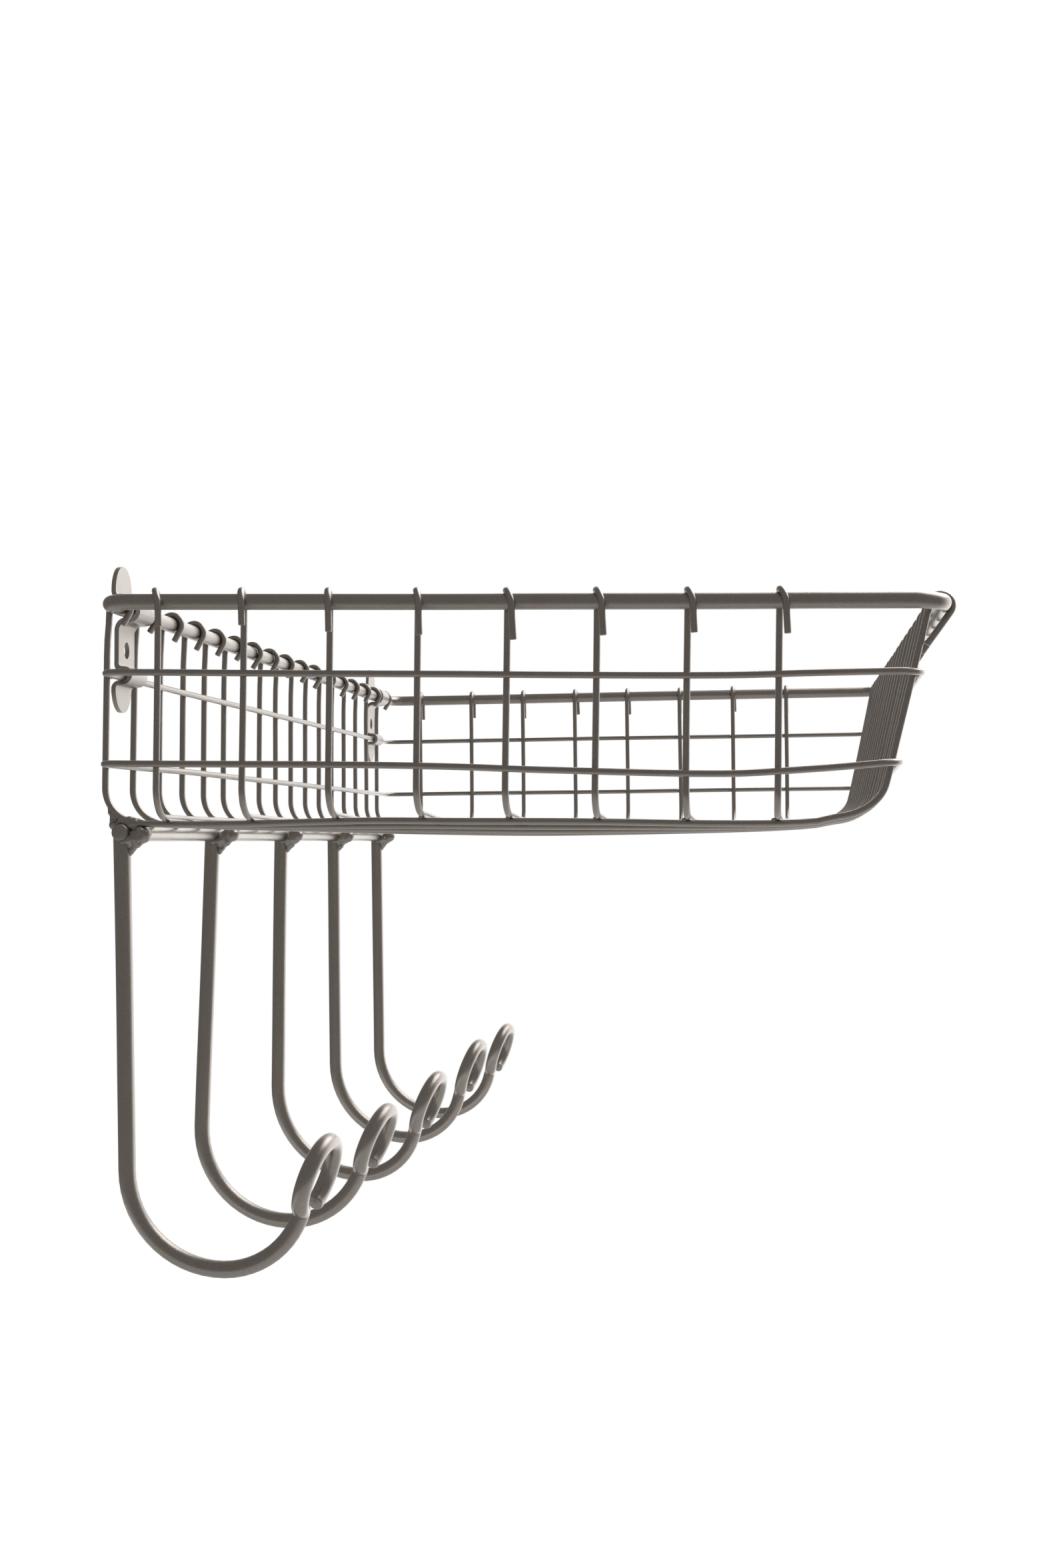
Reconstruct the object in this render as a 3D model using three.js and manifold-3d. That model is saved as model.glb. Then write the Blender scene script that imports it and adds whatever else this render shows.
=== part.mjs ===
// Wall-hung wire basket over a row of coat hooks, all welded steel.
//
// A rod rim carries two families of bent wires: lengthwise wires run end, bottom, end, and
// crosswise wires run back, bottom, front. Each wire hooks over the rim at both ends. Two ring
// wires girdle the basket. A hook bar lies under the back of the basket and carries five coat
// hooks, each ending in an eye. Two strap brackets clamp the rim and the upper ring to the wall.
//
// Millimetres. +X runs along the rack, the wall is the plane y = 0, the basket stands out
// towards -Y and +Z is up. The origin lies on the wall, midway along, level with the screw holes.

import * as THREE from "three";
import { mergeVertices } from "three/addons/utils/BufferGeometryUtils.js";
import Module from "manifold-3d";

const wasm = await Module();
wasm.setup();

// ---- driving dimensions ----------------------------------------------------------------------

const WELD_GAP = 0.3;                 // clearance left wherever two pieces are welded together
const WALL_GAP = 0.25;                // clearance between the back wires and the wall

const RIM_RADIUS = 3;                 // 6 mm rod
const WIRE_RADIUS = 1.25;             // 2.5 mm wire
const HOOK_RADIUS = 3.25;             // 6.5 mm rod of the hooks and their bar

const CROSS_COUNT = 17;
const CROSS_PITCH = 32.35;
const LENGTH_COUNT = 8;
const LENGTH_PITCH = 32.5;
const FIRST_LENGTH_Y = -24.9;         // the lengthwise wire nearest the wall

const END_LEG_X = 273.7;              // end legs of the lengthwise wires
const RIM_Z = 16.3;
const UPPER_RING_Z = -9.6;
const LOWER_RING_Z = -42.7;
const CROSS_FLOOR_Z = -65.7;          // bottoms of the crosswise wires
const FRONT_LEG_Y = -306.9;           // front legs at the height of the rim
const FRONT_LEAN = THREE.MathUtils.degToRad(12.4);

const RIM_CORNER = 10;
const RING_CORNER = 8;
const BACK_BEND = 14;
const FRONT_BEND = 19;
const END_BEND = 12;

const BACK_TAIL = { sweep: 30, length: 5 };       // degrees past straight down, then mm
const FRONT_TAIL = { sweep: 33.5, length: 15.5 };
const END_TAIL = { sweep: 0, length: 11 };

const HOOK_BAR_Y = -7.3;
const HOOK_BAR_ENDS = [-263, 270];
const HOOKS = [
  { name: "coat_hook_1", x: -259.5, lean: 1.2 },
  { name: "coat_hook_2", x: -134.5, lean: -1.9 },
  { name: "coat_hook_3", x: -11, lean: -0.6 },
  { name: "coat_hook_4", x: 107, lean: 0.8 },
  { name: "coat_hook_5", x: 227.5, lean: 0.8 },
];
const HOOK_DROP = 165.8;              // bar centre to the lowest point of a hook's centre line
const HOOK_BACK_RADIUS = 38.5;
const HOOK_FRONT_RADIUS = 30;
const HOOK_FRONT_SWEEP = 73;          // degrees past the lowest point
const EYE_RADIUS = 14;
const EYE_REACH = 16.1;               // from the neck to the eye's centre
const EYE_LEAD = 65;                  // degrees up from level, neck to eye centre
const EYE_PITCH = 70;                 // degrees the eye stands up from level
const EYE_TURN = 5.6;                 // degrees the eye's -X side is turned back towards the wall
const EYE_START = 44;                 // degrees round the eye, from its lowest point
const EYE_END = 323;
const NECK_LEADS = { out: 4.2, into: 3.9 };       // how stiffly the neck leaves the hook and meets the eye
const NECK_STATIONS = [0.3, 0.55, 0.8];           // shares of the neck's curve

const STRAP = { x: 241, width: 19.5, thickness: 1.75, top: 33.2, bottom: -23.2 };
const SCREW_HOLE_RADIUS = 3.25;
const STRAP_FILLETS = { wide: 4, tight: 2.5, ring: 2 };
const SAME_POINT = 1e-4;              // corners closer than this are one corner
const STRAP_CUTTER = { front: -15, back: 5 };     // reach of the strap's cutters from the wall

// sides of each faceted rod, and steps in each bend
const SIDES = { wire: 6, rim: 8, hook: 8, bar: 12, hole: 20 };
const STEPS = { overRim: 7, legBend: 4, corner: 4, backBend: 7, frontBend: 5, eye: 15, strap: 4, lobe: 18 };

// ---- worked-out places -----------------------------------------------------------------------

const BACK_LEG_Y = -WALL_GAP - WIRE_RADIUS;
const HOOK_OVER = RIM_RADIUS + WELD_GAP + WIRE_RADIUS;
const WIRE_STEP = 2 * WIRE_RADIUS + WELD_GAP;
const RIM_X = END_LEG_X + HOOK_OVER;
const RIM_BACK_Y = BACK_LEG_Y - HOOK_OVER;
const RIM_FRONT_Y = FRONT_LEG_Y - HOOK_OVER;
const RING_X = END_LEG_X + WIRE_STEP;
const RING_BACK_Y = BACK_LEG_Y - WIRE_STEP;
const LENGTH_FLOOR_Z = CROSS_FLOOR_Z + WIRE_STEP;
// the bar lies against the outside of the crosswise wires' back bends
const BAR_REACH = BACK_BEND + WIRE_RADIUS + WELD_GAP + HOOK_RADIUS;
const BEND_CENTRE_Y = BACK_LEG_Y - BACK_BEND;
const BAR_Z = CROSS_FLOOR_Z + BACK_BEND - Math.sqrt(BAR_REACH ** 2 - (HOOK_BAR_Y - BEND_CENTRE_Y) ** 2);

const radians = THREE.MathUtils.degToRad;
const frontLegY = (z) => FRONT_LEG_Y + Math.tan(FRONT_LEAN) * (RIM_Z - z);
const ringFrontY = (z) => frontLegY(z) - WIRE_STEP / Math.cos(FRONT_LEAN);

// ---- finishes --------------------------------------------------------------------------------

const METALNESS = 0.85;
const SATIN = 0.42;
const MATT = 0.5;

const finish = (color, roughness) => new THREE.MeshStandardMaterial({ color, roughness, metalness: METALNESS });
const pewterRod = () => finish(0x6f6963, SATIN);
const pewterWire = () => finish(0x746e67, SATIN);
const pewterStrap = () => finish(0x8c8780, MATT);

// ---- bent rods -------------------------------------------------------------------------------

// A centre line kept as hand-laid stations, so that straight runs cost one step each.
class BentRod extends THREE.Curve {
  constructor() {
    super();
    this.stations = [];
    this.tangents = [];
  }

  to(point, tangent) {
    this.stations.push(point);
    this.tangents.push(tangent.clone().normalize());
    return this;
  }

  // An arc about a centre, in the plane of two unit directions, angles in radians.
  arc(centre, radius, across, up, from, sweep, steps) {
    for (let i = 0; i <= steps; i += 1) {
      const angle = from + (sweep * i) / steps;
      const spoke = across.clone().multiplyScalar(Math.cos(angle)).addScaledVector(up, Math.sin(angle));
      const ahead = across.clone().multiplyScalar(-Math.sin(angle)).addScaledVector(up, Math.cos(angle));
      this.to(centre.clone().addScaledVector(spoke, radius), ahead.multiplyScalar(Math.sign(sweep)));
    }
    return this;
  }

  get steps() {
    return this.stations.length - 1;
  }

  getPointAt(u, target = new THREE.Vector3()) {
    return target.copy(this.stations[Math.round(u * this.steps)]);
  }

  getTangentAt(u, target = new THREE.Vector3()) {
    return target.copy(this.tangents[Math.round(u * this.steps)]);
  }
}

function roundSection(radius, sides) {
  const corners = [];
  for (let i = 0; i < sides; i += 1) {
    const angle = (2 * Math.PI * i) / sides;
    corners.push(new THREE.Vector2(radius * Math.cos(angle), radius * Math.sin(angle)));
  }
  return new THREE.Shape(corners);
}

function rodAlong(route, radius, sides) {
  return new THREE.ExtrudeGeometry(roundSection(radius, sides), { extrudePath: route, steps: route.steps });
}

const ALONG = new THREE.Vector3(1, 0, 0);
const TO_WALL = new THREE.Vector3(0, 1, 0);
const UP = new THREE.Vector3(0, 0, 1);

// Over the rim and down the far side to the tail's end. "inward" points from the rim to the leg.
function hookOverRim(route, rimCentre, inward, lean, tail) {
  const sweep = Math.PI - lean + radians(tail.sweep);
  route.arc(rimCentre, HOOK_OVER, inward, UP, lean, sweep, STEPS.overRim);
  const last = route.steps;
  const heading = route.tangents[last];
  route.to(route.stations[last].clone().addScaledVector(heading, tail.length), heading);
}

// Both halves of a wire start at the middle of its bottom run and end in a tail, so the whole
// wire is the first half walked backwards and then the second.
function joinHalves(first, second) {
  const whole = new BentRod();
  for (let i = first.steps; i >= 0; i -= 1) {
    whole.to(first.stations[i], first.tangents[i].clone().negate());
  }
  for (let i = 0; i <= second.steps; i += 1) {
    whole.to(second.stations[i], second.tangents[i]);
  }
  return whole;
}

// From the bottom run, round the bend and up the leg.
function bendUp(outward, floorZ, bend, legAtFloor, lean) {
  const turn = Math.PI / 2 - lean;
  // where the bottom run and the leaning leg would meet, drawn back by the bend's tangent length
  const setback = bend * Math.tan(turn / 2);
  const centre = legAtFloor.clone().addScaledVector(outward, -setback);
  centre.z = floorZ + bend;
  return new BentRod().arc(centre, bend, outward, UP, -Math.PI / 2, turn, STEPS.legBend);
}

function lengthwiseWire(y) {
  const halves = [-1, 1].map((side) => {
    const outward = ALONG.clone().multiplyScalar(side);
    const legFoot = new THREE.Vector3(side * END_LEG_X, y, LENGTH_FLOOR_Z);
    const half = bendUp(outward, LENGTH_FLOOR_Z, END_BEND, legFoot, 0);
    const rim = new THREE.Vector3(side * RIM_X, y, RIM_Z);
    hookOverRim(half, rim, outward.clone().negate(), 0, END_TAIL);
    return half;
  });
  return rodAlong(joinHalves(...halves), WIRE_RADIUS, SIDES.wire);
}

function crosswiseWire(x) {
  const backFoot = new THREE.Vector3(x, BACK_LEG_Y, CROSS_FLOOR_Z);
  const back = bendUp(TO_WALL, CROSS_FLOOR_Z, BACK_BEND, backFoot, 0);
  hookOverRim(back, new THREE.Vector3(x, RIM_BACK_Y, RIM_Z), TO_WALL, 0, BACK_TAIL);

  const toRoom = TO_WALL.clone().negate();
  const frontFoot = new THREE.Vector3(x, frontLegY(CROSS_FLOOR_Z), CROSS_FLOOR_Z);
  const front = bendUp(toRoom, CROSS_FLOOR_Z, FRONT_BEND, frontFoot, FRONT_LEAN);
  hookOverRim(front, new THREE.Vector3(x, RIM_FRONT_Y, RIM_Z), TO_WALL, FRONT_LEAN, FRONT_TAIL);
  return rodAlong(joinHalves(back, front), WIRE_RADIUS, SIDES.wire);
}

// ---- rim and rings ---------------------------------------------------------------------------

// A level closed loop with round corners, each corner in a few steps.
class RoundedLoop extends THREE.Curve {
  constructor(halfLength, backY, frontY, z, corner, steps) {
    super();
    this.loop = new BentRod();
    const corners = [
      [halfLength - corner, backY - corner, 0],
      [-halfLength + corner, backY - corner, 90],
      [-halfLength + corner, frontY + corner, 180],
      [halfLength - corner, frontY + corner, 270],
    ];
    for (const [x, y, start] of corners) {
      const centre = new THREE.Vector3(x, y, z);
      this.loop.arc(centre, corner, ALONG, TO_WALL, radians(start), Math.PI / 2, steps);
    }
    this.count = this.loop.stations.length;
  }

  getPointAt(u, target = new THREE.Vector3()) {
    return target.copy(this.loop.stations[Math.round(u * this.count) % this.count]);
  }

  getTangentAt(u, target = new THREE.Vector3()) {
    return target.copy(this.loop.tangents[Math.round(u * this.count) % this.count]);
  }
}

// A closed loop has no ends, so its tube closes on itself.
function closedLoop(curve, radius, sides) {
  return new THREE.TubeGeometry(curve, curve.count, radius, sides, true);
}

const rimLoop = () => new RoundedLoop(RIM_X, RIM_BACK_Y, RIM_FRONT_Y, RIM_Z, RIM_CORNER, STEPS.corner);
const ringLoop = (z) => new RoundedLoop(RING_X, RING_BACK_Y, ringFrontY(z), z, RING_CORNER, STEPS.corner);
const ring = (z) => closedLoop(ringLoop(z), WIRE_RADIUS, SIDES.wire);

// ---- hook bar and hooks ----------------------------------------------------------------------

function hookBar() {
  const route = new BentRod();
  for (const x of HOOK_BAR_ENDS) {
    route.to(new THREE.Vector3(x, HOOK_BAR_Y, BAR_Z), ALONG);
  }
  return rodAlong(route, HOOK_RADIUS, SIDES.bar);
}

// A hook about its bar: x = 0 in the hook's plane, the bar's centre at y = z = 0.
function hookRoute() {
  const route = new BentRod();
  const down = UP.clone().negate();
  const toRoom = TO_WALL.clone().negate();
  const shankTop = -HOOK_RADIUS - WELD_GAP;
  const bottomY = -HOOK_BACK_RADIUS;
  route.to(new THREE.Vector3(0, 0, shankTop), down);

  const backCentre = new THREE.Vector3(0, bottomY, -HOOK_DROP + HOOK_BACK_RADIUS);
  route.arc(backCentre, HOOK_BACK_RADIUS, TO_WALL, down, 0, Math.PI / 2, STEPS.backBend);
  const frontCentre = new THREE.Vector3(0, bottomY, -HOOK_DROP + HOOK_FRONT_RADIUS);
  const sweep = radians(HOOK_FRONT_SWEEP);
  const front = new BentRod().arc(frontCentre, HOOK_FRONT_RADIUS, down, toRoom, 0, sweep, STEPS.frontBend);
  front.stations.slice(1).forEach((point, i) => route.to(point, front.tangents[i + 1]));

  // The eye stands across the hook: its plane holds the rack's length and the pitched direction.
  const outAndUp = (degrees) => {
    const angle = radians(degrees);
    return toRoom.clone().multiplyScalar(Math.cos(angle)).addScaledVector(UP, Math.sin(angle));
  };
  const neck = route.stations[route.steps];
  const rise = outAndUp(EYE_PITCH);
  const leftSide = ALONG.clone().negate().applyAxisAngle(rise, -radians(EYE_TURN));
  const eyeCentre = neck.clone().addScaledVector(outAndUp(EYE_LEAD), EYE_REACH);
  const eye = new BentRod().arc(
    eyeCentre, EYE_RADIUS, rise.clone().negate(), leftSide,
    radians(EYE_START), radians(EYE_END - EYE_START), STEPS.eye,
  );
  const intoEye = new THREE.CubicBezierCurve3(
    neck,
    neck.clone().addScaledVector(route.tangents[route.steps], NECK_LEADS.out),
    eye.stations[0].clone().addScaledVector(eye.tangents[0], -NECK_LEADS.into),
    eye.stations[0],
  );
  for (const share of NECK_STATIONS) {
    route.to(intoEye.getPoint(share), intoEye.getTangent(share));
  }
  eye.stations.forEach((point, i) => route.to(point, eye.tangents[i]));
  return route;
}

// ---- wall brackets ---------------------------------------------------------------------------

function solidOf(geometry) {
  const bare = geometry.clone();
  bare.deleteAttribute("normal");
  bare.deleteAttribute("uv");
  const merged = mergeVertices(bare, SAME_POINT);
  return new wasm.Manifold(new wasm.Mesh({
    numProp: 3,
    vertProperties: new Float32Array(merged.attributes.position.array),
    triVerts: new Uint32Array(merged.index.array),
  }));
}

function geometryOf(solid) {
  const mesh = solid.getMesh();
  const geometry = new THREE.BufferGeometry();
  geometry.setAttribute("position", new THREE.BufferAttribute(new Float32Array(mesh.vertProperties), 3));
  geometry.setIndex(new THREE.BufferAttribute(new Uint32Array(mesh.triVerts), 1));
  geometry.computeVertexNormals();
  return geometry;
}

// The strap's middle line seen from its edge: x is the distance from the wall, y is the height.
function strapLine() {
  const flat = STRAP.thickness / 2;
  const line = new THREE.Path();
  const saddle = (depth, height, radius, below, above) => {
    line.absarc(flat + below, height - radius - below, below, Math.PI, Math.PI / 2, true);
    line.absarc(depth, height, radius, -Math.PI / 2, Math.PI / 2, false);
    line.absarc(flat + above, height + radius + above, above, -Math.PI / 2, -Math.PI, true);
  };
  line.moveTo(flat, STRAP.bottom);
  line.lineTo(flat, (STRAP.bottom + UPPER_RING_Z) / 2);
  const ringSaddle = WIRE_RADIUS + WELD_GAP + flat;
  saddle(-RING_BACK_Y, UPPER_RING_Z, ringSaddle, STRAP_FILLETS.ring, STRAP_FILLETS.ring);
  const rodSaddle = RIM_RADIUS + WELD_GAP + flat;
  saddle(-RIM_BACK_Y, RIM_Z, rodSaddle, STRAP_FILLETS.wide, STRAP_FILLETS.tight);
  line.lineTo(flat, STRAP.top);
  return line.getPoints(STEPS.strap);
}

function strapOutline() {
  const line = strapLine();
  const sideAt = (offset) => line.map((point, i) => {
    const before = line[Math.max(i - 1, 0)];
    const after = line[Math.min(i + 1, line.length - 1)];
    const across = after.clone().sub(before).normalize().rotateAround(new THREE.Vector2(), Math.PI / 2);
    return point.clone().addScaledVector(across, offset);
  });
  const half = STRAP.thickness / 2;
  return new THREE.Shape([...sideAt(half), ...sideAt(-half).reverse()]);
}

// Strap seen face on: straight sides with a round lobe at the top and at the bottom.
function strapFace() {
  const half = STRAP.width / 2;
  const face = new THREE.Shape();
  face.absarc(0, STRAP.top - half, half, 0, Math.PI, false);
  face.absarc(0, STRAP.bottom + half, half, Math.PI, 2 * Math.PI, false);
  face.closePath();
  return face;
}

// The bent ribbon, cut to the face's outline and pierced by the screw hole.
function wallBracket() {
  const flatOptions = { bevelEnabled: false, curveSegments: STEPS.lobe };
  const ribbon = new THREE.ExtrudeGeometry(strapOutline(), { ...flatOptions, depth: STRAP.width });
  ribbon.translate(0, 0, -STRAP.width / 2);
  const edgeOn = new THREE.Matrix4().makeBasis(TO_WALL.clone().negate(), UP, ALONG.clone().negate());
  ribbon.applyMatrix4(edgeOn);

  const depth = STRAP_CUTTER.back - STRAP_CUTTER.front;
  const face = new THREE.ExtrudeGeometry(strapFace(), { ...flatOptions, depth });
  face.translate(0, 0, -STRAP_CUTTER.back);
  const faceOn = new THREE.Matrix4().makeBasis(ALONG, UP, TO_WALL.clone().negate());
  face.applyMatrix4(faceOn);

  const hole = new THREE.CylinderGeometry(SCREW_HOLE_RADIUS, SCREW_HOLE_RADIUS, depth, SIDES.hole);
  return geometryOf(solidOf(ribbon).intersect(solidOf(face)).subtract(solidOf(hole)));
}

// ---- assembly --------------------------------------------------------------------------------

const basket = new THREE.Group();
const hookRow = new THREE.Group();
const brackets = new THREE.Group();

function add(group, name, geometry, material) {
  const mesh = new THREE.Mesh(geometry, material);
  mesh.name = name;
  group.add(mesh);
  return mesh;
}

add(basket, "rim_rod", closedLoop(rimLoop(), RIM_RADIUS, SIDES.rim), pewterRod());
add(basket, "upper_ring_wire", ring(UPPER_RING_Z), pewterWire());
add(basket, "lower_ring_wire", ring(LOWER_RING_Z), pewterWire());

for (let i = 0; i < LENGTH_COUNT; i += 1) {
  const y = FIRST_LENGTH_Y - i * LENGTH_PITCH;
  add(basket, `lengthwise_wire_${i + 1}`, lengthwiseWire(y), pewterWire());
}
for (let i = 0; i < CROSS_COUNT; i += 1) {
  const x = (i - (CROSS_COUNT - 1) / 2) * CROSS_PITCH;
  add(basket, `crosswise_wire_${i + 1}`, crosswiseWire(x), pewterWire());
}

add(hookRow, "hook_bar", hookBar(), pewterRod());
for (const { name, x, lean } of HOOKS) {
  const hook = add(hookRow, name, rodAlong(hookRoute(), HOOK_RADIUS, SIDES.hook), pewterRod());
  hook.position.set(x, HOOK_BAR_Y, BAR_Z);
  hook.rotation.x = -radians(lean);
}

for (const [name, side] of [["wall_bracket_left", -1], ["wall_bracket_right", 1]]) {
  const bracket = add(brackets, name, wallBracket(), pewterStrap());
  bracket.position.x = side * STRAP.x;
}

const rack = new THREE.Group();
rack.add(basket, hookRow, brackets);

export default rack;
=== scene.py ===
"""Wall-hung welded-wire basket with a row of coat hooks: the finished surface over its frame.

Metres, +X along the rack, the wall is the plane y = 0, the basket stands out towards -Y.
"""
import math
import random

import bmesh
import bpy
from mathutils import Matrix, Quaternion, Vector, noise


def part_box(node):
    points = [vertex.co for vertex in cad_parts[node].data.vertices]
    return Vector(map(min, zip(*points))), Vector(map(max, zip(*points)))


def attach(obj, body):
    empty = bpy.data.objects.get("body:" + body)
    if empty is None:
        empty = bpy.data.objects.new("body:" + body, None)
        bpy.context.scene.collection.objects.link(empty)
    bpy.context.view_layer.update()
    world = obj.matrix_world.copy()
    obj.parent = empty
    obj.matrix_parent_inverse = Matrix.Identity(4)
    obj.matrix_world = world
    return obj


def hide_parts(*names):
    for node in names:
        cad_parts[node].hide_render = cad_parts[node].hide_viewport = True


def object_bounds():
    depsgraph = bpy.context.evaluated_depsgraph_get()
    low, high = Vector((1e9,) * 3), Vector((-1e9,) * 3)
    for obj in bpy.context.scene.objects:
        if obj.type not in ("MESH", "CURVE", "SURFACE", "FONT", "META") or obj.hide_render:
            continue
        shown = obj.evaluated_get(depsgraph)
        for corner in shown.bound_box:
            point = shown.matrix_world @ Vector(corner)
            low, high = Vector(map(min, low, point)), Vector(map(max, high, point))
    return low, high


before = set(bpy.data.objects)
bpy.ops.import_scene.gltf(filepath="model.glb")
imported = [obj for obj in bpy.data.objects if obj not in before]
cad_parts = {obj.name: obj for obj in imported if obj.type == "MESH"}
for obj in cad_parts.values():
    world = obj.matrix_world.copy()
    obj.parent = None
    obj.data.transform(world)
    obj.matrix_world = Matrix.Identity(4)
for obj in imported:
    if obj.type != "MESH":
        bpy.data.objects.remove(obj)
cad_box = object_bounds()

MM = 0.001
X, Y, Z = Vector((1, 0, 0)), Vector((0, 1, 0)), Vector((0, 0, 1))


# ---- sizes taken from the frame ----------------------------------------------------------------

def numbered(stem):
    """The frame's nodes whose names are the stem and a number, in order."""
    found = [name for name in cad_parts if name.startswith(stem)]
    return sorted(found, key=lambda name: int(name.rsplit("_", 1)[1]))


def middle(node):
    low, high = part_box(node)
    return (low + high) / 2


CROSSWISE = numbered("crosswise_wire_")
LENGTHWISE = numbered("lengthwise_wire_")
COAT_HOOKS = numbered("coat_hook_")

RIM_LOW, RIM_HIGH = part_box("rim_rod")
RIM_RADIUS = (RIM_HIGH.z - RIM_LOW.z) / 2
WIRE_RADIUS = (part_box(CROSSWISE[0])[1].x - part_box(CROSSWISE[0])[0].x) / 2
BAR_LOW, BAR_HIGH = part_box("hook_bar")
HOOK_RADIUS = (BAR_HIGH.z - BAR_LOW.z) / 2

RIM_Z = middle("rim_rod").z
RIM_X = RIM_HIGH.x - RIM_RADIUS
RIM_BACK_Y = RIM_HIGH.y - RIM_RADIUS
RIM_FRONT_Y = RIM_LOW.y + RIM_RADIUS
UPPER_RING_Z = middle("upper_ring_wire").z
LOWER_RING_Z = middle("lower_ring_wire").z
CROSS_FLOOR_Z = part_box(CROSSWISE[0])[0].z + WIRE_RADIUS
BAR_Y, BAR_Z = middle("hook_bar").y, middle("hook_bar").z

# ---- sizes of the bends, welds and tails -------------------------------------------------------

SUNK = 0.1 * MM                       # how deep two welded wires sink into each other
RIM_CORNER = 10 * MM
RING_CORNER = 8 * MM
BACK_BEND = 14 * MM
FRONT_BEND = 19 * MM
END_BEND = 12 * MM
FRONT_LEAN = math.radians(12.4)

HOOK_OVER = RIM_RADIUS + WIRE_RADIUS - SUNK
WIRE_STEP = 2 * WIRE_RADIUS - SUNK
END_LEG_X = RIM_X - HOOK_OVER
BACK_LEG_Y = RIM_BACK_Y + HOOK_OVER
FRONT_LEG_Y = RIM_FRONT_Y + HOOK_OVER
LENGTH_FLOOR_Z = CROSS_FLOOR_Z + WIRE_STEP
RING_X = END_LEG_X + WIRE_STEP
RING_BACK_Y = BACK_LEG_Y - WIRE_STEP

BACK_TAIL = (math.radians(30), 5.2 * MM)     # angle past straight down, then straight length
FRONT_TAIL = (math.radians(33.5), 15.5 * MM)
RIGHT_TAIL = (math.radians(0), 11 * MM)
LEFT_TAILS = [                               # sideways swing and straight length of each
    (2.9 * MM, 9.5 * MM), (1.3 * MM, 9.0 * MM), (1.3 * MM, 11.4 * MM), (2.0 * MM, 12.4 * MM),
    (3.4 * MM, 14.0 * MM), (3.1 * MM, 12.4 * MM), (2.9 * MM, 11.4 * MM), (3.1 * MM, 12.1 * MM),
]

# how far such a tail's angle (in degrees) and length stray
RIGHT_STRAY, BACK_STRAY, FRONT_STRAY = (5, 1.6 * MM), (4, 0.8 * MM), (1.0, 0.6 * MM)
RIGHT_SWING = (-0.5, 1.5)             # range of the right tails' sideways swing, in millimetres

# a welded rack is never quite true: one end stands turned against the other
TWIST = math.radians(0.64)
TWIST_CENTRE = Vector((0, -150 * MM, -28.7 * MM))
HALF_LENGTH = END_LEG_X


def front_leg_y(z):
    return FRONT_LEG_Y + math.tan(FRONT_LEAN) * (RIM_Z - z)


def ring_front_y(z):
    return front_leg_y(z) - WIRE_STEP / math.cos(FRONT_LEAN)


FLOOR_BAND = CROSS_FLOOR_Z + 3 * MM   # the basket's floor ends at this height

# how far up the wires stand off their true heights, in millimetres, at these places from the wall
RISE_PLACES = (-5, -40, -104, -138, -170, -235, -266, -277, -303)
LEFT_RISE = [                         # at the left end, by height
    (RIM_Z, (0.2, 0.15, -0.05, -0.1, 0.0, 0.0, 0.2, 0.2, 0.3)),
    (UPPER_RING_Z, (0.2, 0.15, 0.0, -0.1, -0.3, -0.4, 0.5, 0.8, 1.3)),
    (LOWER_RING_Z, (-0.5, -0.45, -0.25, -0.6, -1.5, -2.3, -0.4, 0.5, 2.6)),
    (FLOOR_BAND, (0.3, 0.3, 2.5, 2.8, 2.9, 2.8, 3.6, 5.6, 3.4)),
]
FLOOR_RISE = (0.0, -0.6, -1.7, -1.9, -1.7, 0.0, 1.8, 3.6, 1.2)      # of the basket's floor at mid-length
LEFT_REACH = 110 * MM                 # how far along the rack the left end's shape is felt
LEFT_SEAT = 14 * MM                   # the left end's shape is felt in full this far in from its legs
LEFT_FADE = 1.6                       # how quickly it dies away past that
DRIFT_RUN = (30 * MM, 120 * MM)       # the drift changes from the back run's to the front run's between
LEFT_DRIFT = (0.9 * MM, 0.5 * MM)     # the loops stand this far towards the wall: back run, front run
SPREAD = 0.17 * MM                    # each lengthwise wire past the third is set this much further out
SHEAR = 1.8 * MM                      # the lengthwise wires run this much outwards towards the right

# how far hand-bent stock wanders from true, and over what length
RIM_WAVER = (0.2 * MM, 120 * MM)
RING_WAVER = (0.25 * MM, 90 * MM)
WIRE_WAVER = (0.25 * MM, 60 * MM)
HOOK_WAVER = (0.3 * MM, 80 * MM)

# what sets each kind's wavering and draws apart; a piece's number is added where there are several
WAVER_SEED = {"rim": 1, "upper": 2, "lower": 3, "bar": 5, "lengthwise": 20, "crosswise": 50, "hook": 90}
DRAW_SEED = {"lengthwise": 300, "crosswise": 600, "spots": 11, "hook beads": 23, "end weld": 41}
NOISE_SEED = 1
noise.seed_set(NOISE_SEED)            # left unset, the wavering would follow the clock


def smooth(value, start, end):
    share = min(max((value - start) / (end - start), 0.0), 1.0)
    return share * share * (3 - 2 * share)


def from_row(row, y):
    """A row of rises read at a distance from the wall, along a smooth curve through its values."""
    last = len(row) - 1
    place = min(max(y / MM, RISE_PLACES[last]), RISE_PLACES[0])
    i = next(k for k in range(1, last + 1) if place >= RISE_PLACES[k])
    span = RISE_PLACES[i] - RISE_PLACES[i - 1]
    t = (place - RISE_PLACES[i - 1]) / span
    leaving, arriving = (row_slope(row, k) * span for k in (i - 1, i))
    return (row[i - 1] * (1 + 2 * t) * (1 - t) ** 2 + leaving * t * (1 - t) ** 2
            + row[i] * t * t * (3 - 2 * t) - arriving * t * t * (1 - t))


def row_slope(row, k):
    if k in (0, len(row) - 1):
        return 0.0
    return (row[k + 1] - row[k - 1]) / (RISE_PLACES[k + 1] - RISE_PLACES[k - 1])


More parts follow.
